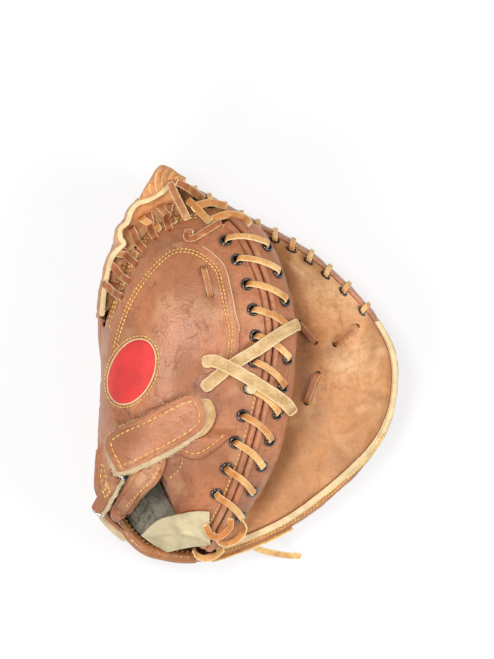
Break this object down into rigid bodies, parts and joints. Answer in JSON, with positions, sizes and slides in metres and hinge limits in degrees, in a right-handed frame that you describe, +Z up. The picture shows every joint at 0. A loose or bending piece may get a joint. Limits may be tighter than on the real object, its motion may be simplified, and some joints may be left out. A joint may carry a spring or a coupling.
{
  "type": "baseball catcher's mitt",
  "caption": "Leather catcher's mitt folded shut, with a laced thumb panel, padded pocket, web and wrist strap.",
  "frame": {"origin": "on the table, under the middle of the mitt's outline", "axes": "+X towards the pocket's open rim, +Y from heel to toe, +Z up from the table"},
  "size_m": [0.2459, 0.3176, 0.1518],
  "materials": {
    "brown_leather": "satin",
    "tan_leather": "worn",
    "roll_leather": "satin",
    "rawhide": "matte",
    "suede": "matte",
    "pad_felt": "matte",
    "grey_fleece": "matte",
    "tag_cloth": "matte",
    "red_patch": "matte",
    "black_enamel": "gloss",
    "nickel_wire": "polished"
  },
  "bodies": {
    "finger_half": {"finger_back": "brown_leather", "finger_palm": "tan_leather", "palm_pad": "pad_felt", "wrist_lining": "grey_fleece", "heel_roll": "roll_leather", "rim_binding": "suede", "toe_lace": "rawhide", "palm_tie_a": "rawhide", "palm_tie_b": "rawhide", "palm_tie_c": "rawhide", "heel_lace": "rawhide", "heel_lace_tail": "rawhide", "web_panel": "tan_leather", "palm_crease": "tan_leather", "back_gusset": "brown_leather", "anchor_strap": "brown_leather"},
    "thumb_half": {"thumb_back": "brown_leather", "thumb_palm": "brown_leather", "thumb_pad": "pad_felt", "back_overlay": "brown_leather", "badge": "red_patch", "welt_back": "brown_leather", "welt_palm": "brown_leather", "thumb_lace": "rawhide", "tie_lace_upper": "suede", "tie_lace_lower": "suede", "toe_knot": "rawhide", "heel_loop_lace": "rawhide", "back_tie": "rawhide", "size_tag": "tag_cloth", "web_crown": "tan_leather", "web_lace": "rawhide", "thumb_wrist_tab": "brown_leather", "wrist_tongue": "brown_leather", "strap_anchor_tab": "brown_leather", "strap_liner": "suede", "eyelet_back_01": "black_enamel", "eyelet_back_02": "black_enamel", "eyelet_back_03": "black_enamel", "eyelet_back_04": "black_enamel", "eyelet_back_05": "black_enamel", "eyelet_back_06": "black_enamel", "eyelet_back_07": "black_enamel", "eyelet_back_08": "black_enamel", "eyelet_back_09": "black_enamel", "eyelet_back_10": "black_enamel", "eyelet_back_11": "black_enamel", "eyelet_palm_01": "black_enamel", "eyelet_palm_02": "black_enamel", "eyelet_palm_03": "black_enamel", "eyelet_palm_04": "black_enamel", "eyelet_palm_05": "black_enamel", "eyelet_palm_06": "black_enamel", "eyelet_palm_07": "black_enamel", "eyelet_palm_08": "black_enamel", "eyelet_palm_09": "black_enamel", "eyelet_palm_10": "black_enamel", "eyelet_palm_11": "black_enamel"},
    "strap_flap": {"strap_flap": "brown_leather"},
    "strap_ring": {"strap_ring": "nickel_wire"}
  },
  "joints": [
    {"name": "pocket_fold", "type": "hinge", "parent": "finger_half", "child": "thumb_half", "pos_m": [-0.06, -0.15, 0.046], "axis": [0.2784, -0.9583, -0.0639], "range_deg": [0, 30], "deforming": ["palm_crease", "back_gusset", "anchor_strap", "web_panel", "wrist_lining", "size_tag"]},
    {"name": "strap_peel", "type": "hinge", "parent": "thumb_half", "child": "strap_flap", "pos_m": [-0.10856, -0.05602, 0.12555], "axis": [0.2585, -0.9639, 0.0639], "range_deg": [0, 110]},
    {"name": "ring_swivel", "type": "hinge", "parent": "thumb_half", "child": "strap_ring", "pos_m": [-0.11302, -0.11963, 0.0861], "axis": [0.3572, 0.6191, 0.6994], "range_deg": [0, 15]}
  ]
}
